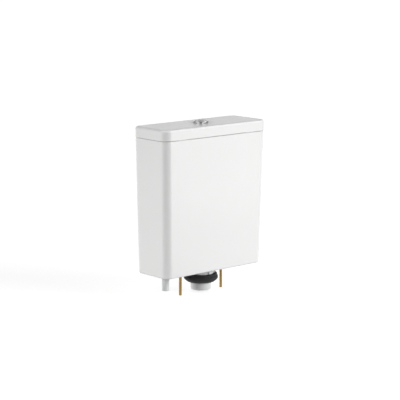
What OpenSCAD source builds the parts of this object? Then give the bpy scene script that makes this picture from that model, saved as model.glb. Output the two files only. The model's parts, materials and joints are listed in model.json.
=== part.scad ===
// Slim close-coupled toilet cistern with a two-part push button, flush valve and bottom-fed fill valve.
// Millimetres, +Z up, front towards -Y, wall side towards +Y.
// The origin is on the flush outlet's axis, in the plane of the tank's foot.

/* [Tank] */
// width over the rim
body_w = 366; // [358:1:400]
// how much narrower the foot is than the rim
side_draft = 16; // [8:1:20]
// depth at the rim, front to back
body_d = 139; // [136:1:160]
// how far the front leans in at the foot
front_draft = 8; // [4:1:10]
// height from foot to rim
body_h = 375; // [368:1:420]
// thickness of the side walls
wall = 9; // [7:0.5:10]
// thickness of the floor
base_t = 12; // [10:0.5:14]
// plan radius of the upright corners
corner_r = 20; // [16:1:24]
// rounding of the foot's edge
foot_edge_r = 4; // [2:0.5:6]

/* [Lid] */
// height of the lid
lid_h = 30; // [28:1:36]
// how far the lid stands over the tank at the front and sides
lid_over = 2; // [1:0.5:4]
// rounding of the lid's top edge
lid_edge_r = 7; // [4:0.5:8]
// thickness of the lid's top plate
lid_top_t = 11; // [9:0.5:12]
// depth of the locating lip under the lid
lip_depth = 10; // [6:1:12]
// thickness of the locating lip
lip_t = 6; // [4:0.5:8]
// room between the lip and the tank's wall
lip_gap = 2.5; // [2:0.5:4]
// thickness of the seating pads, which is the seam under the lid
pad_t = 1.2; // [0.8:0.1:2]

/* [Push button] */
// radius of the chrome ring
bezel_r = 21; // [20.5:0.5:23]
// height of the chrome ring above the lid
bezel_h = 5.5; // [4.5:0.5:7]
// radius of the two buttons together
button_r = 15.9; // [15.5:0.1:16.4]
// gap between the two buttons
button_gap = 0.6; // [0.5:0.1:1]
// how far each button is pressed
press = 8; // [6:0.5:8]
// distance of each push rod from the middle
rod_x = 9.5; // [9:0.1:10]
// radius of the push rods
rod_r = 3; // [2.5:0.1:3]
// wire radius of the button springs
wire_r = 0.5; // [0.4:0.05:0.55]
// turns of the button springs
spring_turns = 6; // [4:1:8]

/* [Flush valve] */
// radius of the flush spigot
spigot_r = 28.5; // [27:0.5:28.5]
// length of the plain spigot
spigot_l = 22; // [16:1:30]
// radius of the threaded tail
tail_r = 29.8; // [29:0.1:30.5]
// radius of the waterway
valve_bore_r = 25; // [24:0.5:25]
// height of the valve's slotted basket
basket_h = 90; // [84:1:96]
// height of the two uprights over the basket
upright_h = 152; // [144:1:158]
// outer radius of the overflow tube
tube_r = 16; // [15:0.5:16]
// thickness of the flush seal
seal_t = 3; // [2.5:0.1:4]
// height of the half-flush float
half_float_h = 45; // [36:1:52]

/* [Fill valve] */
// distance of the fill valve from the middle
fill_x = 128; // [126:1:130]
// radius of the threaded water inlet
inlet_r = 10.4; // [10:0.1:10.6]
// free length of the water inlet under its nut
inlet_l = 34; // [28:1:40]
// radius of the riser
riser_r = 9; // [8:0.5:9]
// height of the riser over the tank's floor
riser_h = 256; // [250:1:264]
// radius of the float
float_r = 32; // [31:0.5:33]
// height of the float
float_h = 60; // [50:1:66]
// how far the float rises
float_rise = 18; // [12:1:18]

/* [Fixings] */
// distance between the two pan bolts
bolt_span = 150; // [146:1:156]
// radius of the pan bolts
bolt_r = 4; // [3.8:0.1:4.2]
// length of the bolts under the foot
bolt_drop = 68; // [50:1:80]
// distance between the two wall screw holes
screw_span = 200; // [160:5:220]
// radius of the wall screw holes
screw_hole_r = 3.5; // [2.5:0.25:4]

/* [Hidden] */
$fn = 64;

// clearances
run_fit = 0.07;
snug = 0.05;
move_gap = 0.35;
lever_gap = 0.5;

// lid and rim
lid_z0 = body_h + pad_t;
lid_z1 = lid_z0 + lid_h;
lid_u = lid_z1 - lid_top_t;
lid_w = body_w + 2 * lid_over;
lid_d = body_d + lid_over;
back_y = lid_d / 2;
lid_corner_r = corner_r + lid_over;
inner_r = corner_r - wall;
pad_w = 5;
pad_l = 26;
pad_x = body_w * 0.33;

// push button
bezel_top = lid_z1 + bezel_h;
barrel_in = button_r + move_gap;
barrel_t = 1.5;
barrel_out = barrel_in + barrel_t;
button_hole_r = barrel_out + 0.8;
bezel_washer_t = 2;
bezel_nut_h = 8;
barrel_floor_t = 2;
barrel_reach = 10;
barrel_floor = lid_u - bezel_washer_t - bezel_nut_h - barrel_reach;
barrel_z0 = barrel_floor - barrel_floor_t;
cap_t = 4;
cap_z1 = bezel_top - 0.7;
cap_z0 = cap_z1 - cap_t;
split_x = -3;
boss_r = rod_r + 1.3;
boss_l = 12;
spring_r = boss_r + wire_r + 0.5;
spring_sides = 6;
spring_rings = 8;

// flush valve heights
outlet_hole_r = tail_r + 2.2;
base_washer_t = 3;
base_flange_r = 42;
flange_z0 = base_t + base_washer_t;
base_flange_t = 5;
flange_z1 = flange_z0 + base_flange_t;
seat_h = 6;
seat_r = valve_bore_r + 4;
seat_z = flange_z1 + seat_h;
seal_r = seat_r + 3;
seal_z0 = seat_z + 0.1;
seal_z1 = seal_z0 + seal_t;
tail_nut_h = 14;
tail_nut_r = 36;
doughnut_h = 24;
doughnut_r = 48;
tail_z0 = -tail_nut_h - doughnut_h;
spigot_z0 = tail_z0 - spigot_l;

// tower
basket_in = seal_r + 1;
basket_out = basket_in + 2.5;
foot_ring_r = basket_out + 3;
foot_ring_t = 4;
basket_z1 = flange_z1 + basket_h;
basket_top_t = 3;
window_w = 34;
window_sill = 13;
window_z0 = flange_z1 + window_sill;
window_lintel = 12;
window_z1 = basket_z1 - window_lintel;
upright_y = 24;
upright_w = 12;
upright_t = 4;
deck_z0 = basket_z1 + upright_h;
deck_t = 4;
deck_z1 = deck_z0 + deck_t;
deck_r = 30;
stem_x = 50;
stem_r = 3;
stem_drop = 97;
stem_z0 = deck_z0 - stem_drop;
deck_ear_w = 16;
half_float_drop = 67;
half_float_z1 = deck_z0 - half_float_drop;
half_float_w = 32;
half_float_d = 34;
half_float_wall = 1.6;
head_h = 42;
head_z1 = deck_z1 + head_h;
head_y = 19;
head_t = 2;
head_top_t = 4;
head_x0 = -20;
head_x1 = 34;
plunger_r = 4;
plunger_x = rod_x;
plunger_arm_rise = 30;
plunger_arm_z = deck_z1 + plunger_arm_rise;
plunger_arm_t = 5;
plunger_arm_w = 8;
plunger_pad_t = 2;
plunger_pad_r = plunger_r + 1;
plunger_pad_rise = 54;
plunger_pad_z = deck_z1 + plunger_pad_rise;

// lift lever
lever_x = 25;
lever_rise = 12;
lever_z = deck_z1 + lever_rise;
lever_out = 14;
lever_in = 22;
lever_half = 2.2;
lever_hub_r = 4.2;
lever_pin_r = 2;
lever_w = 10;
lever_foot_z = lever_z + press / 2 + lever_half + lever_gap;
lever_tilt = asin(press / 2 / lever_out);
tube_wall = 2.5;
tube_rise = 2;
tube_z0 = flange_z1 + tube_rise;
tube_drop = 12;
tube_z1 = deck_z0 - tube_drop;
tube_flange_r = seal_r - 3;
bail_r = tube_r + 2;
bail_bar_z = lever_z - lever_in * sin(lever_tilt) + lever_half + lever_gap;

// fill valve heights
shank_washer_t = 3;
shank_flange_r = 17;
shank_z0 = base_t + shank_washer_t;
inlet_hole_r = inlet_r + 1.1;
shank_nut_h = 10;
groove_h = 2;
inlet_z0 = -shank_nut_h - groove_h - inlet_l;
inlet_bore_r = 5;
filter_r = inlet_bore_r + 2.3;
filter_bore_r = filter_r + 0.2;
riser_z1 = base_t + riser_h;
valve_r = 19;
valve_h = 19;
valve_z1 = riser_z1 + valve_h;
neck_h = 13;
diaphragm_t = 2;
cap_plate_z0 = valve_z1 + diaphragm_t;
cap_plate_t = 6;
cap_plate_z1 = cap_plate_z0 + cap_plate_t;
cap_r = valve_r + 2;
ear_y = 7;
ear_t = 2.5;
ear_h = 15;
ear_z1 = cap_plate_z1 + ear_h;
fork_arm = 28;
pad_arm = 8;
fill_pivot_x = -fill_x + pad_arm;
fill_pivot_rise = 11;
fill_pivot_z = cap_plate_z1 + fill_pivot_rise;
fill_tilt = asin(float_rise / 2 / fork_arm);
fill_half = 1.7;
fill_hub_r = 4;
fill_pin_r = 1.5;
bleed_pad_t = 2;
nipple_h = 3.4;
nipple_z1 = cap_plate_z1 + nipple_h;
silencer_side = 16;
silencer_x = -fill_x - silencer_side;
silencer_r = 5.5;
silencer_rise = 18;
silencer_z0 = base_t + silencer_rise;
silencer_drop = 4;
silencer_z1 = riser_z1 - silencer_drop;
screw_x = fill_pivot_x + fork_arm;
screw_r = 2.5;
float_side = 10;
float_x = -fill_x + float_side;
float_top_gap = 7;
float_z1 = riser_z1 - neck_h - float_rise - float_top_gap;
float_z0 = float_z1 - float_h;
float_slot = riser_r + 1;
float_wall = 1.8;
float_boss_r = 5.5;
float_boss_h = 6;
collar_r = 7;
collar_low_drop = 13.6;
collar_z0 = fill_pivot_z - collar_low_drop;
collar_high_drop = 4.3;
collar_z1 = fill_pivot_z - collar_high_drop;
collar_t = 2.4;
collar_hub_r = 3.5;
level_screw_over = 8;
screw_z1 = collar_z1 + collar_t + level_screw_over;

// pan bolts
bolt_head_h = 5.5;
rubber_t = 4;
steel_t = 1.5;
rubber_r = 14;
steel_r = 11;
bolt_neck_r = bolt_r - 0.3;
bolt_head_z = base_t + rubber_t + steel_t;
wall_screw_drop = 45;
screw_z = body_h - wall_screw_drop;

// finishes
china = [0.93, 0.93, 0.92];
chrome = [0.75, 0.77, 0.8];
white_plastic = [0.88, 0.89, 0.9];
grey_plastic = [0.6, 0.63, 0.66];
blue_plastic = [0.3, 0.45, 0.62];
black_rubber = [0.12, 0.12, 0.12];
red_rubber = [0.55, 0.2, 0.16];
steel = [0.62, 0.62, 0.64];
brass = [0.78, 0.62, 0.3];

// half the tank's width at a height
function half_w(z) = (body_w - side_draft * (1 - z / body_h)) / 2;

// the tank's front face at a height
function front_y(z) = back_y - body_d + front_draft * (1 - z / body_h);

// middle of the spring's wire at ring i of n
function coil_point(i, n, z0, z1) = let (a = 360 * i / spring_rings)
  [spring_r * cos(a), spring_r * sin(a), z0 + (z1 - z0) * i / n];

// least distance between the wire's surfaces on different turns
function coil_gap(points) = min([
  for (i = [0 : len(points) - 1], j = [i + 5 : 1 : len(points) - 1]) norm(points[i] - points[j])
]) - 2 * wire_r;

// a plain tube standing on the Z axis
module ring(r_out, r_in, z0, z1) {
  translate([0, 0, z0])
    difference() {
      cylinder(h = z1 - z0, r = r_out);
      translate([0, 0, -1])
        cylinder(h = z1 - z0 + 2, r = r_in);
    }
}

// a solid round bar along Z
module bar(r, z0, z1) {
  translate([0, 0, z0])
    cylinder(h = z1 - z0, r = r);
}

// a solid round bar along Y through the middle
module cross_bar(r, half) {
  rotate([90, 0, 0])
    translate([0, 0, -half])
      cylinder(h = 2 * half, r = r);
}

// a block given by its two corners
module block(a, b) {
  translate(a)
    cube(b - a);
}

// a disc with its lower edge rounded
module puck(r, e) {
  rotate_extrude($fn = 32)
    polygon(concat([[0, 0]], [for (a = [90 : -22.5 : 0]) [r - e + e * cos(a), e - e * sin(a)]], [[0, e]]));
}

// places children at the four corners of the tank's plan
module tank_corners(z, inset, r) {
  for (side = [-1, 1]) {
    translate([side * (half_w(z) - inset - r), back_y - inset - r, 0])
      children();
    translate([side * (half_w(z) - inset - r), front_y(z) + inset + r, 0])
      children();
  }
}

// places children at the four corners of the lid's plan
module lid_corners(r) {
  for (side = [-1, 1], end = [-1, 1])
    translate([side * (lid_w / 2 - r), end * (lid_d / 2 - r), 0])
      children();
}

// a straight-sided block with the plan of the tank's mouth, drawn in by an inset
module mouth_block(inset, z0, z1) {
  r = max(inner_r - inset, 3);
  hull()
    tank_corners(body_h, wall + inset, r)
      translate([0, 0, z0])
        cylinder(h = z1 - z0, r = r, $fn = 32);
}

module cistern_body() {
  color(china)
    difference() {
      hull() {
        tank_corners(0, 0, corner_r)
          puck(corner_r, foot_edge_r);
        tank_corners(body_h, 0, corner_r)
          translate([0, 0, body_h - 1])
            cylinder(h = 1, r = corner_r, $fn = 32);
      }
      hull() {
        tank_corners(base_t, wall, inner_r)
          translate([0, 0, base_t])
            cylinder(h = 1, r = inner_r, $fn = 32);
        tank_corners(body_h, wall, inner_r)
          translate([0, 0, body_h])
            cylinder(h = 1, r = inner_r, $fn = 32);
      }
      bar(outlet_hole_r, -1, base_t + 1);
      for (side = [-1, 1])
        translate([side * bolt_span / 2, 0, 0])
          bar(bolt_r + 1.5, -1, base_t + 1);
      translate([-fill_x, 0, 0])
        bar(inlet_hole_r, -1, base_t + 1);
      for (side = [-1, 1])
        translate([side * screw_span / 2, back_y - wall / 2, screw_z])
          cross_bar(screw_hole_r, wall);
    }
}

module cistern_lid() {
  color(china)
    difference() {
      union() {
        hull() {
          lid_corners(lid_corner_r)
            translate([0, 0, lid_z0])
              cylinder(h = 1, r = lid_corner_r, $fn = 32);
          lid_corners(lid_corner_r)
            translate([0, 0, lid_z1])
              mirror([0, 0, 1])
                puck(lid_corner_r, lid_edge_r);
        }
        mouth_block(lip_gap, lid_z0 - lip_depth, lid_z0 + 1);
      }
      mouth_block(lip_gap + lip_t, lid_z0 - lip_depth - 1, lid_u);
      bar(button_hole_r, lid_u - 1, lid_z1 + 1);
    }
}

module lid_pad(side, y) {
  color(white_plastic)
    translate([side * pad_x - pad_l / 2, y - pad_w / 2, body_h])
      cube([pad_l, pad_w, pad_t]);
}

module lid_pad_front_left() {
  lid_pad(-1, back_y - body_d + wall / 2);
}

module lid_pad_front_right() {
  lid_pad(1, back_y - body_d + wall / 2);
}

module lid_pad_back_left() {
  lid_pad(-1, back_y - wall / 2);
}

module lid_pad_back_right() {
  lid_pad(1, back_y - wall / 2);
}

module button_bezel() {
  color(chrome)
    difference() {
      rotate_extrude()
        polygon([
          [0, barrel_z0], [barrel_out, barrel_z0], [barrel_out, lid_z1], [bezel_r, lid_z1],
          [bezel_r, bezel_top - 0.8], [bezel_r - 0.8, bezel_top], [barrel_in + 0.6, bezel_top],
          [barrel_in, bezel_top - 0.6], [barrel_in, barrel_floor], [0, barrel_floor]
        ]);
      for (side = [-1, 1])
        translate([side * rod_x, 0, 0])
          bar(rod_r + run_fit, barrel_z0 - 1, barrel_floor + 1);
    }
}

module bezel_washer() {
  color(black_rubber)
    ring(barrel_out + 5, barrel_out + snug, lid_u - bezel_washer_t, lid_u);
}

module bezel_nut() {
  z1 = lid_u - bezel_washer_t;
  color(white_plastic)
    difference() {
      union() {
        bar(barrel_out + 4, z1 - bezel_nut_h, z1);
        for (a = [0 : 60 : 300])
          rotate([0, 0, a])
            translate([barrel_out + 4.5, 0, z1 - bezel_nut_h / 2])
              cube([5, 5, bezel_nut_h - 1], center = true);
      }
      bar(barrel_out + snug, z1 - bezel_nut_h - 1, z1 + 1);
    }
}

// one button: its share of the round cap with a boss for the push rod
module button(x0, x1, boss_x) {
  color(chrome)
    difference() {
      union() {
        intersection() {
          rotate_extrude()
            polygon([
              [0, cap_z0], [button_r, cap_z0], [button_r, cap_z1 - 0.5],
              [button_r - 0.5, cap_z1], [0, cap_z1]
            ]);
          block([x0, -button_r - 1, cap_z0 - 1], [x1, button_r + 1, cap_z1 + 1]);
        }
        translate([boss_x, 0, 0])
          bar(boss_r, cap_z0 - boss_l, cap_z0 + 1);
      }
      translate([boss_x, 0, 0])
        bar(rod_r + snug, cap_z0 - boss_l - 1, cap_z0 - 1);
    }
}

module full_button() {
  button(split_x + button_gap / 2, button_r + 1, rod_x);
}

module half_button() {
  button(-button_r - 1, split_x - button_gap / 2, -rod_x);
}

module push_rod(x) {
  color(white_plastic)
    translate([x, 0, 0])
      bar(rod_r, plunger_pad_z + 0.2, cap_z0 - 1.1);
}

module full_push_rod() {
  push_rod(rod_x);
}

module half_push_rod() {
  push_rod(-rod_x);
}

// an unbroken wound wire from the barrel's floor to the underside of a button
module button_spring(x) {
  n = spring_turns * spring_rings;
  z0 = barrel_floor + wire_r + 0.1;
  z1 = cap_z0 - wire_r - 0.1;
  points = [for (i = [0 : n]) coil_point(i, n, z0, z1)];
  echo(spring_self_gap = coil_gap(points));
  skin = [
    for (i = [0 : n], k = [0 : spring_sides - 1])
      let (a = 360 * i / spring_rings, b = 360 * k / spring_sides)
        points[i] + wire_r * [cos(b) * cos(a), cos(b) * sin(a), sin(b)]
  ];
  sides = [
    for (i = [0 : n - 1], k = [0 : spring_sides - 1])
      let (j = (k + 1) % spring_sides)
        [i * spring_sides + k, (i + 1) * spring_sides + k, (i + 1) * spring_sides + j, i * spring_sides + j]
  ];
  first = [for (k = [0 : spring_sides - 1]) k];
  last = [for (k = [spring_sides - 1 : -1 : 0]) n * spring_sides + k];
  color(steel)
    translate([x, 0, 0])
      polyhedron(skin, concat(sides, [first, last]));
}

module full_button_spring() {
  button_spring(rod_x);
}

module half_button_spring() {
  button_spring(-rod_x);
}

module valve_base() {
  color(white_plastic) {
    rotate_extrude()
      polygon([
        [valve_bore_r, spigot_z0], [spigot_r - 1, spigot_z0], [spigot_r, spigot_z0 + 1], [spigot_r, tail_z0],
        [tail_r, tail_z0], [tail_r, flange_z0], [base_flange_r, flange_z0], [base_flange_r, flange_z1],
        [seat_r, flange_z1], [seat_r - 1.5, seat_z], [valve_bore_r, seat_z]
      ]);
    // hooks that hold the tower's foot ring down
    hook_r = foot_ring_r + snug;
    hook_lip_r = foot_ring_r - 1.8;
    hook_z = flange_z1 + foot_ring_t + snug;
    for (a = [30 : 120 : 270])
      rotate([0, 0, a])
        rotate_extrude(angle = 30)
          polygon([
            [hook_r, flange_z1 - 1], [base_flange_r - 0.5, flange_z1 - 1], [base_flange_r - 0.5, hook_z + 3],
            [hook_lip_r, hook_z + 3], [hook_lip_r, hook_z], [hook_r, hook_z]
          ]);
  }
}

module base_washer() {
  color(black_rubber)
    ring(base_flange_r, tail_r + snug, base_t, flange_z0);
}

module tail_back_nut() {
  color(white_plastic)
    difference() {
      union() {
        bar(tail_nut_r, -tail_nut_h, 0);
        for (a = [0 : 45 : 315])
          rotate([0, 0, a])
            translate([tail_nut_r + 0.5, 0, -tail_nut_h / 2])
              cube([7, 7, tail_nut_h - 2], center = true);
      }
      bar(tail_r + snug, -tail_nut_h - 1, 1);
    }
}

module doughnut_seal() {
  z0 = -tail_nut_h - doughnut_h;
  color(black_rubber)
    rotate_extrude()
      polygon([
        [tail_r + snug, z0], [doughnut_r - 9, z0], [doughnut_r - 3, z0 + 4], [doughnut_r, z0 + 10],
        [doughnut_r, -tail_nut_h - 5], [doughnut_r - 3, -tail_nut_h], [tail_r + snug, -tail_nut_h]
      ]);
}

module valve_tower() {
  color(grey_plastic)
    union() {
      difference() {
        union() {
          bar(basket_out, flange_z1, basket_z1);
          bar(foot_ring_r, flange_z1, flange_z1 + foot_ring_t);
        }
        bar(basket_in, flange_z1 - 1, basket_z1 - basket_top_t);
        bar(tube_r + move_gap, basket_z1 - basket_top_t - 1, basket_z1 + 1);
        for (a = [0, 90])
          rotate([0, 0, a])
            block([-basket_out - 1, -window_w / 2, window_z0], [basket_out + 1, window_w / 2, window_z1]);
      }
      for (side = [-1, 1])
        translate([-upright_w / 2, side * upright_y - upright_t / 2, basket_z1 - 1])
          cube([upright_w, upright_t, upright_h + 2]);
      difference() {
        union() {
          bar(deck_r, deck_z0, deck_z1);
          block([-stem_x - deck_ear_w / 2, -deck_ear_w / 2, deck_z0], [0, deck_ear_w / 2, deck_z1]);
          block([head_x0, -head_y - head_t, deck_z0], [head_x1, head_y + head_t, deck_z1]);
        }
        bar(bail_r + 2, deck_z0 - 1, deck_z1 + 1);
        translate([-stem_x, 0, 0])
          bar(stem_r + run_fit, deck_z0 - 1, deck_z1 + 1);
      }
    }
}

module tower_head() {
  color(blue_plastic)
    difference() {
      block([head_x0, -head_y - head_t, deck_z1], [head_x1, head_y + head_t, head_z1]);
      block([head_x0 - 1, -head_y, deck_z1 - 1], [head_x1 + 1, head_y, head_z1 - head_top_t]);
      for (side = [-1, 1])
        translate([side * plunger_x, 0, 0])
          bar(plunger_r + run_fit, head_z1 - head_top_t - 1, head_z1 + 1);
      translate([lever_x, 0, lever_z])
        cross_bar(lever_pin_r + snug, head_y + head_t + 1);
    }
}

// a guided pin with a pad for the push rod and an arm that starts under it
module plunger_pin(x) {
  translate([x, 0, 0]) {
    bar(plunger_r, plunger_arm_z, plunger_pad_z);
    bar(plunger_pad_r, plunger_pad_z - plunger_pad_t, plunger_pad_z);
  }
}

module full_plunger() {
  foot_x0 = lever_x + lever_out - lever_gap;
  foot_x1 = foot_x0 + lever_hub_r;
  half = plunger_arm_w / 2;
  arm_z1 = plunger_arm_z + plunger_arm_t;
  color(white_plastic)
    union() {
      plunger_pin(plunger_x);
      block([plunger_x - plunger_r / 2, -half, plunger_arm_z], [foot_x1, half, arm_z1]);
      block([foot_x0, -half, lever_foot_z], [foot_x1, half, plunger_arm_z + 1]);
    }
}

module half_plunger() {
  arm_x0 = -stem_x - stem_r - 1;
  half = plunger_arm_w / 2;
  arm_z1 = plunger_arm_z + plunger_arm_t;
  color(white_plastic)
    union() {
      plunger_pin(-plunger_x);
      block([arm_x0, -half, plunger_arm_z], [-plunger_x + plunger_r / 2, half, arm_z1]);
      translate([-stem_x, 0, 0])
        bar(stem_r, stem_z0, plunger_arm_z + 1);
    }
}

module lift_lever() {
  color(blue_plastic)
    translate([lever_x, 0, lever_z])
      rotate([0, -lever_tilt, 0])
        difference() {
          union() {
            cross_bar(lever_hub_r, lever_w / 2);
            block([-lever_in, -lever_w / 2, -lever_half], [lever_out, lever_w / 2, lever_half]);
            translate([-lever_in, 0, 0])
              cross_bar(lever_half, lever_w / 2);
            translate([lever_out, 0, 0])
              cross_bar(lever_half, lever_w / 2);
          }
          cross_bar(lever_pin_r + run_fit, lever_w);
        }
}

module lever_pin() {
  color(steel)
    translate([lever_x, 0, lever_z])
      union() {
        cross_bar(lever_pin_r, head_y + head_t + 1.5);
        translate([0, head_y + head_t + 1.5, 0])
          cross_bar(lever_pin_r + 1.2, 1.2);
      }
}

module overflow_tube() {
  color(white_plastic)
    rotate_extrude()
      polygon([
        [tube_r - tube_wall, tube_z0], [tube_r, tube_z0],
        [tube_r, seal_z1 + 0.1], [tube_flange_r, seal_z1 + 0.1],
        [tube_flange_r, seal_z1 + 3], [tube_r + 3, seal_z1 + 5], [tube_r, seal_z1 + 9],
        [tube_r, tube_z1], [tube_r - tube_wall, tube_z1]
      ]);
}

module flush_seal() {
  color(red_rubber)
    ring(seal_r, tube_r + snug, seal_z0, seal_z1);
}

module seal_retainer() {
  color(white_plastic)
    ring(valve_bore_r - 2, tube_r + snug, seal_z0 - 4.5, seal_z0 - 0.05);
}

module lift_bail() {
  color(blue_plastic)
    union() {
      ring(bail_r, tube_r + snug, tube_z1 - 8, tube_z1 + snug);
      ring(bail_r, tube_r - tube_wall, tube_z1 + snug, tube_z1 + 2);
      for (side = [-1, 1])
        translate([0, side * (tube_r - 0.5), 0])
          block([-3, -1.5, tube_z1 + 1], [3, 1.5, bail_bar_z + 1]);
      block([-2.5, -tube_r - 1, bail_bar_z], [2.5, tube_r + 1, bail_bar_z + 4]);
    }
}

module half_flush_float() {
  z0 = half_float_z1 - half_float_h;
  half_x = half_float_w / 2;
  half_y = half_float_d / 2;
  room_x = half_x - half_float_wall;
  room_y = half_y - half_float_wall;
  color(blue_plastic)
    translate([-stem_x, 0, 0])
      difference() {
        block([-half_x, -half_y, z0], [half_x, half_y, half_float_z1]);
        difference() {
          block([-room_x, -room_y, z0 + 2], [room_x, room_y, half_float_z1 + 1]);
          bar(stem_r + 2.5, z0, half_float_z1 + 2);
        }
        bar(stem_r + snug, stem_z0 - 1, half_float_z1 + 2);
      }
}

module inlet_shank() {
  color(white_plastic)
    translate([-fill_x, 0, 0])
      difference() {
        rotate_extrude()
          polygon([
            [inlet_bore_r, inlet_z0], [inlet_r, inlet_z0], [inlet_r, inlet_z0 + inlet_l],
            [inlet_r - 1, inlet_z0 + inlet_l], [inlet_r - 1, -shank_nut_h], [inlet_r, -shank_nut_h],
            [inlet_r, shank_z0], [shank_flange_r, shank_z0], [shank_flange_r, shank_z0 + 4],
            [riser_r, shank_z0 + 8], [riser_r, riser_z1], [inlet_bore_r, riser_z1]
          ]);
        bar(filter_bore_r, inlet_z0 - 1, inlet_z0 + 26);
      }
}

module shank_washer() {
  color(black_rubber)
    translate([-fill_x, 0, 0])
      ring(shank_flange_r, inlet_r + snug, base_t, shank_z0);
}

module shank_nut() {
  color(white_plastic)
    translate([-fill_x, 0, 0])
      difference() {
        union() {
          translate([0, 0, -shank_nut_h])
            cylinder(h = shank_nut_h - 3, r = inlet_r + 7, $fn = 6);
          bar(inlet_r + 8, -3, 0);
        }
        bar(inlet_r + snug, -shank_nut_h - 1, 1);
      }
}

module inlet_filter() {
  color(blue_plastic)
    translate([-fill_x, 0, inlet_z0])
      difference() {
        bar(filter_r, 1, 24);
        bar(filter_r - 1.2, 0, 22.5);
        for (a = [0 : 60 : 120])
          rotate([0, 0, a])
            translate([0, 0, 12])
              cube([2 * filter_r + 2, 2.4, 16], center = true);
      }
}

module fill_valve_head() {
  color(white_plastic)
    difference() {
      union() {
        translate([-fill_x, 0, 0]) {
          bar(valve_r, riser_z1, valve_z1);
          bar(riser_r + 4, riser_z1 - neck_h, riser_z1 + 1);
        }
        translate([silencer_x, 0, 0])
          bar(silencer_r + 2, riser_z1 - neck_h, riser_z1 + 8);
      }
      translate([-fill_x, 0, 0]) {
        bar(riser_r + snug, riser_z1 - neck_h - 1, riser_z1);
        bar(inlet_bore_r, riser_z1 - 1, valve_z1 + 1);
      }
      translate([silencer_x, 0, 0]) {
        bar(silencer_r + snug, riser_z1 - neck_h - 1, silencer_z1);
        bar(silencer_r - 1.2, silencer_z1 - 1, riser_z1 + 6);
      }
    }
}

module diaphragm() {
  color(black_rubber)
    translate([-fill_x, 0, 0])
      ring(valve_r - 1, 0.8, valve_z1, cap_plate_z0);
}

module head_cap() {
  color(blue_plastic)
    difference() {
      union() {
        translate([-fill_x, 0, 0]) {
          bar(cap_r, cap_plate_z0, cap_plate_z1);
          ring(cap_r, valve_r + snug, valve_z1 - 8, cap_plate_z0 + 1);
          bar(2.2, cap_plate_z1 - 1, nipple_z1);
        }
        for (side = [-1, 1])
          translate([-fill_x, side * (ear_y + ear_t / 2), 0])
            block([-5, -ear_t / 2, cap_plate_z1 - 1], [14, ear_t / 2, ear_z1]);
      }
      translate([-fill_x, 0, 0])
        bar(0.7, cap_plate_z0 - 1, nipple_z1 + 1);
      translate([fill_pivot_x, 0, fill_pivot_z])
        cross_bar(fill_pin_r + snug, ear_y + ear_t + 1);
    }
}

// children drawn level on the fill lever's pivot, turned to where they stand with the float down
module on_fill_lever() {
  translate([fill_pivot_x, 0, fill_pivot_z])
    rotate([0, fill_tilt, 0])
      children();
}

module fill_lever() {
  color(grey_plastic)
    on_fill_lever()
      difference() {
        union() {
          cross_bar(fill_hub_r, ear_y - 0.5);
          block([-pad_arm - 3.5, -4, -fill_half], [0, 4, fill_half]);
          block([0, -6.5, -fill_half], [fork_arm + 4, 6.5, fill_half]);
        }
        cross_bar(fill_pin_r + run_fit, ear_y + 1);
        block([fork_arm - 6, -collar_hub_r - 0.7, -5], [fork_arm + 6, collar_hub_r + 0.7, 5]);
      }
}

module fill_lever_pin() {
  color(steel)
    translate([fill_pivot_x, 0, fill_pivot_z])
      union() {
        cross_bar(fill_pin_r, ear_y + ear_t + 1);
        translate([0, ear_y + ear_t + 1, 0])
          cross_bar(fill_pin_r + 1, 1);
      }
}

module bleed_pad() {
  color(black_rubber)
    on_fill_lever()
      translate([-pad_arm, 0, 0])
        bar(3, -fill_half - bleed_pad_t, -fill_half);
}

module fill_float() {
  color(white_plastic)
    difference() {
      union() {
        difference() {
          translate([float_x, 0, 0])
            bar(float_r, float_z0, float_z1);
          // open underside with a wall left all round the slot
          difference() {
            translate([float_x, 0, 0])
              bar(float_r - float_wall, float_z0 - 1, float_z1 - 2);
            block(
              [float_x - float_r, -float_slot - float_wall, float_z0 - 2],
              [-fill_x + float_slot + 1 + float_wall, float_slot + float_wall, float_z1]
            );
            translate([screw_x, 0, 0])
              bar(screw_r + 2, float_z1 - 20, float_z1);
          }
        }
        translate([screw_x, 0, 0])
          bar(float_boss_r, float_z1 - 1, float_z1 + float_boss_h);
      }
      block(
        [float_x - float_r - 1, -float_slot, float_z0 - 3],
        [-fill_x + float_slot + 1, float_slot, float_z1 + 1]
      );
      translate([screw_x, 0, 0])
        bar(screw_r + run_fit, float_z1 - 19, float_z1 + float_boss_h + 1);
    }
}

module level_screw() {
  color(grey_plastic)
    translate([screw_x, 0, 0])
      union() {
        bar(screw_r, float_z1 - 16, screw_z1);
        bar(screw_r + 2, collar_z1 + collar_t + 1, screw_z1);
      }
}

module level_adjuster() {
  color(blue_plastic)
    translate([screw_x, 0, 0])
      difference() {
        union() {
          bar(collar_r, collar_z0 - collar_t, collar_z0);
          bar(collar_hub_r, collar_z0 - 1, collar_z1 + 1);
          bar(collar_r, collar_z1, collar_z1 + collar_t);
        }
        bar(screw_r + snug, collar_z0 - collar_t - 1, collar_z1 + collar_t + 1);
      }
}

module silencer_tube() {
  color(grey_plastic)
    translate([silencer_x, 0, 0])
      ring(silencer_r, silencer_r - 1.2, silencer_z0, silencer_z1);
}

module pan_bolt(side) {
  color(brass)
    translate([side * bolt_span / 2, 0, 0])
      union() {
        translate([0, 0, bolt_head_z])
          cylinder(h = bolt_head_h, r = 1.9 * bolt_r, $fn = 6);
        bar(bolt_neck_r, -1, bolt_head_z + 1);
        bar(bolt_r, -bolt_drop, 0);
      }
}

module pan_bolt_left() {
  pan_bolt(-1);
}

module pan_bolt_right() {
  pan_bolt(1);
}

module bolt_rubber(side) {
  color(black_rubber)
    translate([side * bolt_span / 2, 0, 0])
      ring(rubber_r, bolt_neck_r + snug, base_t, base_t + rubber_t);
}

module bolt_rubber_left() {
  bolt_rubber(-1);
}

module bolt_rubber_right() {
  bolt_rubber(1);
}

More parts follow.
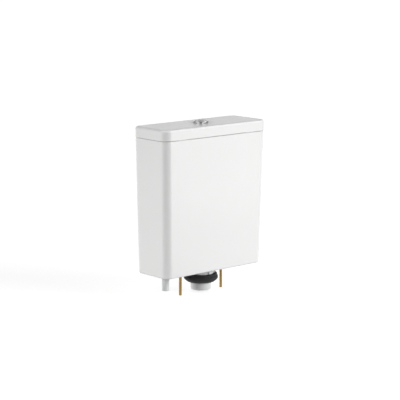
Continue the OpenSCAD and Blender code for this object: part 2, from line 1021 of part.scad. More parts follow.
module bolt_washer(side) {
  color(steel)
    translate([side * bolt_span / 2, 0, 0])
      ring(steel_r, bolt_neck_r + 0.4, base_t + rubber_t, bolt_head_z);
}

module bolt_washer_left() {
  bolt_washer(-1);
}

module bolt_washer_right() {
  bolt_washer(1);
}

cistern_body();
cistern_lid();
lid_pad_front_left();
lid_pad_front_right();
lid_pad_back_left();
lid_pad_back_right();
button_bezel();
bezel_washer();
bezel_nut();
full_button();
half_button();
full_push_rod();
half_push_rod();
full_button_spring();
half_button_spring();
valve_base();
base_washer();
tail_back_nut();
doughnut_seal();
valve_tower();
tower_head();
full_plunger();
half_plunger();
lift_lever();
lever_pin();
overflow_tube();
flush_seal();
seal_retainer();
lift_bail();
half_flush_float();
inlet_shank();
shank_washer();
shank_nut();
inlet_filter();
fill_valve_head();
diaphragm();
head_cap();
fill_lever();
fill_lever_pin();
bleed_pad();
fill_float();
level_screw();
level_adjuster();
silencer_tube();
pan_bolt_left();
pan_bolt_right();
bolt_rubber_left();
bolt_rubber_right();
bolt_washer_left();
bolt_washer_right();
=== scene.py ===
"""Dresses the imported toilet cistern: glazed tank and lid, chrome push button, valves and fixings.

Every length is in metres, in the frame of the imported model: +Z up, +Y towards the wall, with the origin on the flush
outlet's axis in the plane of the tank's foot.
"""

import json
import logging
import math
from dataclasses import dataclass, replace
from enum import Enum
from typing import Iterable, Optional, Sequence

import bmesh
import bpy
from bpy.types import Material, Node, NodeSocket, NodeTree, Object
from mathutils import Matrix, Vector


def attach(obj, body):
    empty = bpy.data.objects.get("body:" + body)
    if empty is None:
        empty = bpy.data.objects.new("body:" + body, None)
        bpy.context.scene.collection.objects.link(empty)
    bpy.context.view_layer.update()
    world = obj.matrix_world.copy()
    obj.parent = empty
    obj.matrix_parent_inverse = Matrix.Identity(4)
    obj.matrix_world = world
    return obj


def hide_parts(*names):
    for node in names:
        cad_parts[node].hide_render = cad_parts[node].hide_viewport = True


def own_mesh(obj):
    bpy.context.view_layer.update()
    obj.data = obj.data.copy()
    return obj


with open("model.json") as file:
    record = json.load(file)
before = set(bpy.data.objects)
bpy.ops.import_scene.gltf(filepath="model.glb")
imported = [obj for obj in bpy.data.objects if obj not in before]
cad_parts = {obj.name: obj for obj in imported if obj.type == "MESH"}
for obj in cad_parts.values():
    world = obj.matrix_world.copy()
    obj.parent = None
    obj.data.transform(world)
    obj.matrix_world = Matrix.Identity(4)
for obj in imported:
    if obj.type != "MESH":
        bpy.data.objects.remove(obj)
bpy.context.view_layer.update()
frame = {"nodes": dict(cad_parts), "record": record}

log = logging.getLogger("cistern")

MM = 0.001
UP = Vector((0.0, 0.0, 1.0))
TO_WALL = Vector((0.0, 1.0, 0.0))
NOISE_RANGE = (0.3, 0.7)
ROUGHNESS_FINER = 2.3
CORNER_STEPS = 18
FINE_TURN = 128


class Slot(Enum):
    """The record's material slots."""

    CHINA = "china"
    CHROME = "chrome"
    WHITE = "white_plastic"
    GREY = "grey_plastic"
    BLUE = "blue_plastic"
    BLACK_RUBBER = "black_rubber"
    RED_RUBBER = "red_rubber"
    STEEL = "steel"
    BRASS = "brass"


class Body(Enum):
    """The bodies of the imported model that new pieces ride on."""

    TANK = "tank"
    LID = "lid"
    FULL_BUTTON = "full_button"
    HALF_BUTTON = "half_button"


@dataclass(frozen=True)
class PaintedEdgeHighlight:
    """A rounded front edge with a painted highlight: its glaze colour is made lighter to stand in for the light it
    catches.

    Attributes:
        low: Height at which the rounding begins.
        high: Height at which it ends.
        front: Place along Y in front of which the painted highlight is strongest.
        share: By what share the glaze colour is lightened there for the painted highlight.
        fade: Depth over which the painted highlight fades in.
        band: Where the painted highlight is strongest, as shares of the rounding's height.
    """

    low: float
    high: float
    front: float
    share: float
    fade: float = 12 * MM
    band: tuple[float, float] = (0.45, 0.9)


@dataclass(frozen=True)
class Finish:
    """A surface finish, made once as a node material on Object coordinates.

    Attributes:
        slot: The record's slot that the finish belongs to.
        colour: Linear base colour.
        roughness: Middle of the roughness range.
        rough_spread: How far the roughness wanders either way.
        metallic: 1 for bare metal.
        coat: Weight of a clear glaze over the base.
        coat_roughness: Roughness of that glaze.
        specular: Specular level of the base.
        mottle: How far the colour wanders either way, as a share of the colour.
        mottle_scale: Size of the colour's wander, in features per metre.
        grain_scale: Fineness of the surface grain, in features per metre.
        grain_height: Height of the grain, in metres.
        wave_scale: Fineness of the broad unevenness, in features per metre.
        wave_height: Height of the broad unevenness, in metres.
        stretch: Scale of the coordinates along X, Y and Z, for a brushed or drawn look.
        edge: A rounded front edge with a painted highlight, where there is one.
    """

    slot: Slot
    colour: tuple[float, float, float]
    roughness: float
    rough_spread: float = 0.03
    metallic: float = 0.0
    coat: float = 0.0
    coat_roughness: float = 0.04
    specular: float = 0.5
    mottle: float = 0.02
    mottle_scale: float = 40.0
    grain_scale: float = 900.0
    grain_height: float = 0.00002
    wave_scale: float = 0.0
    wave_height: float = 0.0
    stretch: tuple[float, float, float] = (1.0, 1.0, 1.0)
    edge: Optional[PaintedEdgeHighlight] = None

    def material(self) -> Material:
        """Makes the finish's material, or finds it if it was made before.

        Returns:
            The node material.
        """
        # Materials with a painted edge highlight get their own name.
        name = f"finish_{self.slot.value}_{int(self.roughness * 1000)}{'_edged' if self.edge else ''}"
        if name in bpy.data.materials:
            return bpy.data.materials[name]
        made = bpy.data.materials.new(name)
        made.use_nodes = True
        tree = made.node_tree
        shader = tree.nodes["Principled BSDF"]
        shader.inputs["Metallic"].default_value = self.metallic
        shader.inputs["Coat Weight"].default_value = self.coat
        shader.inputs["Coat Roughness"].default_value = self.coat_roughness
        shader.inputs["Specular IOR Level"].default_value = self.specular
        where = self._coordinates(tree)
        self._dress_colour(tree, shader, where)
        self._dress_roughness(tree, shader, where)
        self._dress_relief(tree, shader, where)
        made.diffuse_color = (*self.colour, 1.0)
        return made

    def _coordinates(self, tree: NodeTree) -> NodeSocket:
        """Object coordinates, stretched for a brushed or drawn look.

        Args:
            tree: The material's nodes.

        Returns:
            The socket that carries the coordinates.
        """
        source = tree.nodes.new("ShaderNodeTexCoord")
        mapping = tree.nodes.new("ShaderNodeMapping")
        mapping.inputs["Scale"].default_value = self.stretch
        tree.links.new(source.outputs["Object"], mapping.inputs["Vector"])
        return mapping.outputs["Vector"]

    @staticmethod
    def _noise(tree: NodeTree, where: NodeSocket, scale: float, detail: float) -> Node:
        """A noise texture on the given coordinates.

        Args:
            tree: The material's nodes.
            where: The coordinates.
            scale: Features per metre.
            detail: Octaves of finer noise.

        Returns:
            The noise node.
        """
        noise = tree.nodes.new("ShaderNodeTexNoise")
        noise.inputs["Scale"].default_value = scale
        noise.inputs["Detail"].default_value = detail
        tree.links.new(where, noise.inputs["Vector"])
        return noise

    def _dress_colour(self, tree: NodeTree, shader: Node, where: NodeSocket) -> None:
        """Lets the base colour wander a little over the surface, and paints in the edge highlight where there is one.

        Args:
            tree: The material's nodes.
            shader: The principled shader.
            where: The coordinates.
        """
        noise = self._noise(tree, where, self.mottle_scale, 3.0)
        ramp = tree.nodes.new("ShaderNodeValToRGB")
        low, high = 1.0 - self.mottle, 1.0 + self.mottle
        ramp.color_ramp.elements[0].position = NOISE_RANGE[0]
        ramp.color_ramp.elements[1].position = NOISE_RANGE[1]
        ramp.color_ramp.elements[0].color = (*(min(c * low, 1.0) for c in self.colour), 1.0)
        ramp.color_ramp.elements[1].color = (*(min(c * high, 1.0) for c in self.colour), 1.0)
        tree.links.new(noise.outputs["Fac"], ramp.inputs["Fac"])
        # Where there is an edge, a painted highlight is mixed into the colour.
        colour = ramp.outputs["Color"] if self.edge is None else self._paint_edge_highlight(tree, ramp.outputs["Color"])
        tree.links.new(colour, shader.inputs["Base Color"])

    def _paint_edge_highlight(self, tree: NodeTree, colour: NodeSocket) -> NodeSocket:
        """Paints a highlight into the colour along a rounded front edge, most in the middle of the rounding.

        Args:
            tree: The material's nodes.
            colour: The colour elsewhere.

        Returns:
            The socket that carries the colour with the painted highlight in it.
        """
        edge = self.edge
        source = tree.nodes.new("ShaderNodeTexCoord")
        split = tree.nodes.new("ShaderNodeSeparateXYZ")
        tree.links.new(source.outputs["Object"], split.inputs["Vector"])
        height = tree.nodes.new("ShaderNodeMapRange")
        height.inputs["From Min"].default_value = edge.low
        height.inputs["From Max"].default_value = edge.high
        tree.links.new(split.outputs["Z"], height.inputs["Value"])
        band = tree.nodes.new("ShaderNodeValToRGB")
        band.color_ramp.elements[0].color = (0.0, 0.0, 0.0, 1.0)
        band.color_ramp.elements[1].color = (0.0, 0.0, 0.0, 1.0)
        for place in edge.band:
            band.color_ramp.elements.new(place).color = (1.0, 1.0, 1.0, 1.0)
        tree.links.new(height.outputs["Result"], band.inputs["Fac"])
        ahead = tree.nodes.new("ShaderNodeMapRange")
        ahead.inputs["From Min"].default_value = edge.front + edge.fade
        ahead.inputs["From Max"].default_value = edge.front
        tree.links.new(split.outputs["Y"], ahead.inputs["Value"])
        both = tree.nodes.new("ShaderNodeMath")
        both.operation = "MULTIPLY"
        tree.links.new(band.outputs["Color"], both.inputs[0])
        tree.links.new(ahead.outputs["Result"], both.inputs[1])
        # Mixes towards a lighter colour along the edge: the painted highlight.
        mix = tree.nodes.new("ShaderNodeMix")
        mix.data_type = "RGBA"
        mix.inputs["B"].default_value = (*(min(c * (1.0 + edge.share), 1.0) for c in self.colour), 1.0)
        tree.links.new(both.outputs["Value"], mix.inputs["Factor"])
        tree.links.new(colour, mix.inputs["A"])
        return mix.outputs["Result"]

    def _dress_roughness(self, tree: NodeTree, shader: Node, where: NodeSocket) -> None:
        """Lets the roughness wander, as handling and water leave it.

        Args:
            tree: The material's nodes.
            shader: The principled shader.
            where: The coordinates.
        """
        noise = self._noise(tree, where, self.mottle_scale * ROUGHNESS_FINER, 4.0)
        spread = tree.nodes.new("ShaderNodeMapRange")
        spread.inputs["From Min"].default_value = NOISE_RANGE[0]
        spread.inputs["From Max"].default_value = NOISE_RANGE[1]
        spread.inputs["To Min"].default_value = max(self.roughness - self.rough_spread, 0.01)
        spread.inputs["To Max"].default_value = self.roughness + self.rough_spread
        tree.links.new(noise.outputs["Fac"], spread.inputs["Value"])
        tree.links.new(spread.outputs["Result"], shader.inputs["Roughness"])

    def _dress_relief(self, tree: NodeTree, shader: Node, where: NodeSocket) -> None:
        """Adds the fine grain and, where there is one, the broad unevenness.

        Args:
            tree: The material's nodes.
            shader: The principled shader.
            where: The coordinates.
        """
        grain = tree.nodes.new("ShaderNodeBump")
        grain.inputs["Strength"].default_value = 1.0
        grain.inputs["Distance"].default_value = self.grain_height
        noise = self._noise(tree, where, self.grain_scale, 2.0)
        tree.links.new(noise.outputs["Fac"], grain.inputs["Height"])
        if self.wave_height > 0.0:
            wave = tree.nodes.new("ShaderNodeBump")
            wave.inputs["Strength"].default_value = 1.0
            wave.inputs["Distance"].default_value = self.wave_height
            broad = self._noise(tree, where, self.wave_scale, 1.0)
            tree.links.new(broad.outputs["Fac"], wave.inputs["Height"])
            tree.links.new(wave.outputs["Normal"], grain.inputs["Normal"])
        tree.links.new(grain.outputs["Normal"], shader.inputs["Normal"])


FINISHES: dict[Slot, Finish] = {
    Slot.CHINA: Finish(
        Slot.CHINA, (0.83, 0.83, 0.825), 0.24, 0.022, coat=0.08, mottle=0.006, mottle_scale=9.0,
        grain_scale=220.0, grain_height=0.000012, wave_scale=14.0, wave_height=0.00018,
    ),
    Slot.CHROME: Finish(
        Slot.CHROME, (0.55, 0.556, 0.565), 0.045, 0.012, metallic=1.0, mottle=0.02, mottle_scale=60.0,
        grain_scale=1500.0, grain_height=0.000002,
    ),
    Slot.WHITE: Finish(
        Slot.WHITE, (0.72, 0.73, 0.73), 0.34, 0.05, mottle=0.015, grain_scale=1600.0, grain_height=0.00001,
    ),
    Slot.GREY: Finish(
        Slot.GREY, (0.32, 0.35, 0.38), 0.46, 0.06, mottle=0.03, grain_scale=1800.0, grain_height=0.00002,
    ),
    Slot.BLUE: Finish(
        Slot.BLUE, (0.075, 0.17, 0.33), 0.42, 0.06, mottle=0.04, grain_scale=1800.0, grain_height=0.00002,
    ),
    Slot.BLACK_RUBBER: Finish(
        Slot.BLACK_RUBBER, (0.018, 0.018, 0.019), 0.66, 0.08, mottle=0.12, grain_scale=1100.0, grain_height=0.00005,
        specular=0.35,
    ),
    Slot.RED_RUBBER: Finish(
        Slot.RED_RUBBER, (0.26, 0.035, 0.024), 0.6, 0.08, mottle=0.08, grain_scale=1100.0, grain_height=0.00004,
        specular=0.35,
    ),
    Slot.STEEL: Finish(
        Slot.STEEL, (0.5, 0.5, 0.51), 0.35, 0.06, metallic=1.0, mottle=0.05, grain_scale=700.0,
        grain_height=0.000008, stretch=(1.0, 1.0, 0.12),
    ),
    Slot.BRASS: Finish(
        Slot.BRASS, (0.55, 0.38, 0.13), 0.36, 0.07, metallic=1.0, mottle=0.09, mottle_scale=120.0,
        grain_scale=900.0, grain_height=0.000008,
    ),
}


class Workshop:
    """Shaping steps that the sub-assemblies share."""

    @staticmethod
    def lathe(bm: bmesh.types.BMesh, profile: Sequence[tuple[float, float]], steps: int = 96) -> None:
        """Turns a profile about the Z axis into a closed skin.

        Args:
            bm: The mesh that takes the skin.
            profile: Radius and height of each point, in millimetres, in order round the section.
            steps: Facets of a full turn.
        """
        part = bmesh.new()
        verts = [part.verts.new((r * MM, 0.0, z * MM)) for r, z in profile]
        edges = [part.edges.new(pair) for pair in zip(verts, verts[1:] + verts[:1])]
        flat = [e for e in edges if all(v.co.x < 1e-9 for v in e.verts)]
        for edge in flat:
            part.edges.remove(edge)
        bmesh.ops.spin(
            part, geom=part.verts[:] + part.edges[:], cent=(0, 0, 0), axis=UP, dvec=(0, 0, 0),
            angle=2 * math.pi, steps=steps, use_merge=True, use_duplicate=False,
        )
        bmesh.ops.remove_doubles(part, verts=part.verts[:], dist=1e-7)
        bmesh.ops.recalc_face_normals(part, faces=part.faces[:])
        Workshop.join(bm, part)

    @staticmethod
    def join(bm: bmesh.types.BMesh, part: bmesh.types.BMesh, place: Optional[Matrix] = None) -> None:
        """Adds one mesh to another and frees it.

        Args:
            bm: The mesh that grows.
            part: The mesh that is added.
            place: Where the added mesh goes.
        """
        if place is not None:
            bmesh.ops.transform(part, matrix=place, verts=part.verts[:])
        carrier = bpy.data.meshes.new("carrier")
        part.to_mesh(carrier)
        part.free()
        bm.from_mesh(carrier)
        bpy.data.meshes.remove(carrier)

    @staticmethod
    def arc(
        centre: tuple[float, float], radius: float, start: float, end: float, steps: int = 6
    ) -> list[tuple[float, float]]:
        """Points of a rounded edge in a section.

        Args:
            centre: Radius and height of the arc's centre, in millimetres.
            radius: The rounding, in millimetres.
            start: First angle in degrees.
            end: Last angle in degrees.
            steps: Pieces of the arc.

        Returns:
            The points in order.
        """
        turn = [math.radians(start + (end - start) * i / steps) for i in range(steps + 1)]
        return [(centre[0] + radius * math.cos(a), centre[1] + radius * math.sin(a)) for a in turn]

    @staticmethod
    def bevel(bm: bmesh.types.BMesh, edges: Iterable[bmesh.types.BMEdge], width: float, segments: int) -> None:
        """Rounds edges.

        Args:
            bm: The mesh.
            edges: The edges to round.
            width: The rounding in metres.
            segments: Pieces of the rounding.
        """
        bmesh.ops.bevel(
            bm, geom=list(edges), offset=width, offset_type="OFFSET", segments=segments, profile=0.5,
            affect="EDGES", material=-1, clamp_overlap=True,
        )

    @staticmethod
    def thread(
        bm: bmesh.types.BMesh, crest: float, root: float, pitch: float, z0: float, z1: float, core: float, steps: int
    ) -> None:
        """A screw thread as a closed sleeve round a core.

        Args:
            bm: The mesh that takes the thread.
            crest: Outside radius in millimetres.
            root: Radius at the bottom of the thread in millimetres.
            pitch: Advance of one turn in millimetres.
            z0: Lower end in millimetres.
            z1: Upper end in millimetres.
            core: Radius of the sleeve's inside in millimetres.
            steps: Facets of one turn.
        """
        part = bmesh.new()
        turns = math.ceil((z1 - z0) / pitch) + 2
        section = [(root, 0.0), (root, 0.12), (crest, 0.44), (crest, 0.56), (root, 0.88), (root, 1.0)]
        verts = [part.verts.new((r * MM, 0.0, (z0 - pitch + share * pitch) * MM)) for r, share in section]
        for pair in zip(verts, verts[1:]):
            part.edges.new(pair)
        bmesh.ops.spin(
            part, geom=part.verts[:] + part.edges[:], cent=(0, 0, 0), axis=UP, dvec=(0, 0, pitch * MM / steps),
            angle=2 * math.pi * turns, steps=steps * turns, use_merge=False, use_duplicate=False,
        )
        bmesh.ops.remove_doubles(part, verts=part.verts[:], dist=2e-6)
        rims = []
        for height, normal in ((z0, -UP), (z1, UP)):
            cut = bmesh.ops.bisect_plane(
                part, geom=part.verts[:] + part.edges[:] + part.faces[:], dist=1e-7,
                plane_co=(0, 0, height * MM), plane_no=normal, clear_outer=True,
            )
            rim = [e for e in cut["geom_cut"] if isinstance(e, bmesh.types.BMEdge)]
            grown = bmesh.ops.extrude_edge_only(part, edges=rim)["geom"]
            for vert in (v for v in grown if isinstance(v, bmesh.types.BMVert)):
                flat = vert.co.xy.normalized() * core * MM
                vert.co = (flat.x, flat.y, height * MM)
            rims += [e for e in grown if isinstance(e, bmesh.types.BMEdge)]
        bmesh.ops.bridge_loops(part, edges=rims)
        bmesh.ops.recalc_face_normals(part, faces=part.faces[:])
        Workshop.join(bm, part)

    @staticmethod
    def bore(piece: Object, holes: Sequence[tuple[Vector, Vector, float, float]]) -> None:
        """Drills round holes through a piece.

        Args:
            piece: The piece.
            holes: Middle, direction, radius and length of each hole, in metres.
        """
        cutters = []
        for middle, direction, radius, length in holes:
            tool = bmesh.new()
            bmesh.ops.create_cone(tool, cap_ends=True, segments=64, radius1=radius, radius2=radius, depth=length)
            turn = UP.rotation_difference(direction).to_matrix().to_4x4()
            bmesh.ops.transform(tool, matrix=Matrix.Translation(middle) @ turn, verts=tool.verts[:])
            mesh = bpy.data.meshes.new("cutter")
            tool.to_mesh(mesh)
            tool.free()
            cutter = bpy.data.objects.new("cutter", mesh)
            bpy.context.collection.objects.link(cutter)
            cut = piece.modifiers.new("bore", "BOOLEAN")
            cut.operation = "DIFFERENCE"
            cut.solver = "EXACT"
            cut.object = cutter
            cutters.append(cutter)
        shaped = piece.evaluated_get(bpy.context.evaluated_depsgraph_get())
        bored = bpy.data.meshes.new_from_object(shaped)
        piece.modifiers.clear()
        piece.data = bored
        for cutter in cutters:
            bpy.data.objects.remove(cutter, do_unlink=True)

    @staticmethod
    def upright(bm: bmesh.types.BMesh) -> list[bmesh.types.BMEdge]:
        """The edges that run up the corners."""
        return [e for e in bm.edges if abs(e.verts[0].co.z - e.verts[1].co.z) > 10 * MM]

    @staticmethod
    def level(bm: bmesh.types.BMesh, z: float, sharp: float = 40.0) -> list[bmesh.types.BMEdge]:
        """The edges that lie at one height and turn by more than a sharp angle in degrees."""
        return [
            e for e in bm.edges
            if all(abs(v.co.z - z) < 0.01 * MM for v in e.verts) and e.calc_face_angle(0.0) > math.radians(sharp)
        ]

    @staticmethod
    def piece(bm: bmesh.types.BMesh, name: str) -> Object:
        """Makes an object of a finished mesh and frees the mesh.

        Args:
            bm: The finished mesh.
            name: The piece's name.

        Returns:
            The object, at the origin.
        """
        mesh = bpy.data.meshes.new(name)
        bm.to_mesh(mesh)
        bm.free()
        made = bpy.data.objects.new(name, mesh)
        bpy.context.collection.objects.link(made)
        return made

    @staticmethod
    def dress(piece: Object, finish: Finish, body: str, nodes: Sequence[str], crease: float = 32.0) -> Object:
        """Gives a piece its shading, finish and body.

        Args:
            piece: The piece.
            finish: Its finish.
            body: The body that it rides on.
            nodes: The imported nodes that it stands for.
            crease: Angle in degrees past which an edge stays sharp.

        Returns:
            The piece.
        """
        piece.data.shade_smooth()
        piece.data.set_sharp_from_angle(angle=math.radians(crease))
        even = piece.modifiers.new("even_normals", "WEIGHTED_NORMAL")
        even.keep_sharp = True
        even.weight = 80
        piece.data.materials.clear()
        piece.data.materials.append(finish.material())
        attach(piece, body)
        if nodes:
            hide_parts(*nodes)
        log.info("%s rides on %s and stands for %s", piece.name, body, ", ".join(nodes) or "nothing")
        return piece


@dataclass
class ChinaTank:
    """The glazed tank with its mouth, foot and holes.

    Attributes:
        width: Width over the rim.
        foot_width: Width at the foot.
        depth: Depth at the rim.
        lean: How far the front leans in at the foot.
        height: Height from foot to rim.
        back: The wall side's place along Y.
        wall: Thickness of the walls.
        floor: Thickness of the floor.
        corner: Plan radius of the corners.
        foot_edge: Rounding of the foot's edge.
        rim_edge: Rounding of the rim's edges.
        cove: Rounding between the walls and the floor inside.
        outlet: Radius of the outlet hole.
        inlet: Place along X and radius of the inlet hole.
        bolts: Distance from the middle and radius of the bolt holes.
        screws: Distance from the middle, height and radius of the wall screw holes.
        drill: Length of the drill for each hole.
    """

    width: float = 366 * MM
    foot_width: float = 350 * MM
    depth: float = 139 * MM
    lean: float = 8 * MM
    height: float = 375 * MM
    back: float = 70.5 * MM
    wall: float = 9 * MM
    floor: float = 12 * MM
    corner: float = 20 * MM
    foot_edge: float = 4 * MM
    rim_edge: float = 2.2 * MM
    cove: float = 7 * MM
    outlet: float = 32 * MM
    inlet: tuple[float, float] = (-128 * MM, 11.5 * MM)
    bolts: tuple[float, float] = (75 * MM, 5.5 * MM)
    screws: tuple[float, float, float] = (100 * MM, 330 * MM, 3.5 * MM)
    drill: float = 40 * MM

    def build(self) -> Object:
        """Shapes, bores and dresses the tank.

        Returns:
            The tank.
        """
        bm = bmesh.new()
        bmesh.ops.create_cube(bm, size=1.0)
        bmesh.ops.scale(bm, vec=(self.width, self.depth, self.height), verts=bm.verts[:])
        bmesh.ops.translate(bm, vec=(0, self.back - self.depth / 2, self.height / 2), verts=bm.verts[:])
        foot = [v for v in bm.verts if v.co.z < self.height / 2]
        bmesh.ops.scale(bm, vec=(self.foot_width / self.width, 1, 1), verts=foot)
        bmesh.ops.translate(bm, vec=(0, self.lean, 0), verts=[v for v in foot if v.co.y < 0])
        Workshop.bevel(bm, Workshop.upright(bm), self.corner, CORNER_STEPS)
        self._open_mouth(bm)
        Workshop.bevel(bm, Workshop.level(bm, 0.0), self.foot_edge, segments=6)
        Workshop.bevel(bm, Workshop.level(bm, self.height), self.rim_edge, segments=4)
        Workshop.bevel(bm, Workshop.level(bm, self.floor), self.cove, segments=5)
        bmesh.ops.recalc_face_normals(bm, faces=bm.faces[:])
        tank = Workshop.piece(bm, "china_tank")
        Workshop.bore(tank, self._holes())
        return Workshop.dress(tank, FINISHES[Slot.CHINA], Body.TANK.value, ["cistern_body"])

    def _open_mouth(self, bm: bmesh.types.BMesh) -> None:
        """Sinks the inside of the tank from the rim to the floor.

        Args:
            bm: The tank's mesh.
        """
        top = max(bm.faces, key=lambda f: f.calc_center_median().z)
        bmesh.ops.inset_region(bm, faces=[top], thickness=self.wall, use_even_offset=True, use_boundary=True)
        sunk = bmesh.ops.extrude_discrete_faces(bm, faces=[top])["faces"][0]
        verts = list(sunk.verts)
        bmesh.ops.translate(bm, vec=(0, 0, self.floor - self.height), verts=verts)
        share = 1 - self.floor / self.height
        draw_in = (self.width - self.foot_width) / 2 * share
        half = self.width / 2 - self.wall
        bmesh.ops.scale(bm, vec=((half - draw_in) / half, 1, 1), verts=verts)
        bmesh.ops.translate(bm, vec=(0, self.lean * share, 0), verts=[v for v in verts if v.co.y < 0])

    def _holes(self) -> list[tuple[Vector, Vector, float, float]]:
        """Outlet, bolt, inlet and wall screw holes.

        Returns:
            Middle, direction, radius and length of each hole.
        """
        low = self.floor / 2
        inlet_x, inlet_radius = self.inlet
        bolt_x, bolt_radius = self.bolts
        screw_x, screw_z, screw_radius = self.screws
        holes = [
            (Vector((0, 0, low)), UP, self.outlet, self.drill),
            (Vector((inlet_x, 0, low)), UP, inlet_radius, self.drill),
        ]
        for side in (-1, 1):
            holes.append((Vector((side * bolt_x, 0, low)), UP, bolt_radius, self.drill))
            holes.append((Vector((side * screw_x, self.back, screw_z)), TO_WALL, screw_radius, self.drill))
        return holes


@dataclass
class ChinaLid:
    """The glazed lid with its rounded top edge, locating lip and button hole, and a painted highlight along the front
    top edge.

    Attributes:
        width: Width over the lid.
        depth: Depth over the lid.
        under: Height of the underside.
        height: Height of the lid.
        corner: Plan radius of the corners.
        edge: Rounding of the top edge.
        plate: Thickness of the top plate.
        rest: From the lid's outside to the lip's outside, at the front and sides.
        over: How far the lid stands over the tank at the front and sides.
        lip: Thickness of the lip.
        lip_depth: How far the lip reaches down.
        hole: Radius of the button hole.
        under_edge: Rounding of the underside's edges.
        lip_edge: Rounding of the lip's edges.
        drill: Length of the drill for the button hole.
        painted_highlight_depth: How far back from the front the painted highlight begins.
        painted_highlight_share: By what share the glaze colour of the front edge is lightened for the painted
            highlight.
    """

    width: float = 370 * MM
    depth: float = 141 * MM
    under: float = 376.2 * MM
    height: float = 30 * MM
    corner: float = 22 * MM
    edge: float = 7 * MM
    plate: float = 11 * MM
    rest: float = 13.5 * MM
    over: float = 2 * MM
    lip: float = 6 * MM
    lip_depth: float = 10 * MM
    hole: float = 18.55 * MM
    under_edge: float = 1.3 * MM
    lip_edge: float = 1.6 * MM
    drill: float = 80 * MM
    painted_highlight_depth: float = 15 * MM
    painted_highlight_share: float = 0.16

    def build(self) -> Object:
        """Shapes, bores and dresses the lid.

        Returns:
            The lid.
        """
        bm = bmesh.new()
        bmesh.ops.create_cube(bm, size=1.0)
        bmesh.ops.scale(bm, vec=(self.width, self.depth, self.height), verts=bm.verts[:])
        bmesh.ops.translate(bm, vec=(0, 0, self.under + self.height / 2), verts=bm.verts[:])
        Workshop.bevel(bm, Workshop.upright(bm), self.corner, CORNER_STEPS)
        self._shape_underside(bm)
        top = self.under + self.height
        Workshop.bevel(bm, Workshop.level(bm, top), self.edge, segments=8)
        Workshop.bevel(bm, Workshop.level(bm, self.under), self.under_edge, segments=3)
        Workshop.bevel(bm, Workshop.level(bm, self.under - self.lip_depth), self.lip_edge, segments=3)
        bmesh.ops.recalc_face_normals(bm, faces=bm.faces[:])
        lid = Workshop.piece(bm, "china_lid")
        Workshop.bore(lid, [(Vector((0, 0, top)), UP, self.hole, self.drill)])
        # Painted highlight along the lid's rounded front top edge: the glaze colour is made lighter there.
        edge = PaintedEdgeHighlight(top - self.edge, top, self.painted_highlight_depth - self.depth / 2, self.painted_highlight_share)
        glaze = replace(FINISHES[Slot.CHINA], edge=edge)
        return Workshop.dress(lid, glaze, Body.LID.value, ["cistern_lid"])

    def _shape_underside(self, bm: bmesh.types.BMesh) -> None:
        """Draws the locating lip down and sinks the recess inside it.

        Args:
            bm: The lid's mesh.
        """
        face = min(bm.faces, key=lambda f: f.calc_center_median().z)
        bmesh.ops.inset_region(bm, faces=[face], thickness=self.rest, use_even_offset=True, use_boundary=True)
        bmesh.ops.translate(bm, vec=(0, self.over, 0), verts=[v for v in face.verts if v.co.y > 0])
        lip = bmesh.ops.extrude_discrete_faces(bm, faces=[face])["faces"][0]
        bmesh.ops.translate(bm, vec=(0, 0, -self.lip_depth), verts=list(lip.verts))
        bmesh.ops.inset_region(bm, faces=[lip], thickness=self.lip, use_even_offset=True, use_boundary=True)
        recess = bmesh.ops.extrude_discrete_faces(bm, faces=[lip])["faces"][0]
        bmesh.ops.translate(bm, vec=(0, 0, self.lip_depth + self.height - self.plate), verts=list(recess.verts))


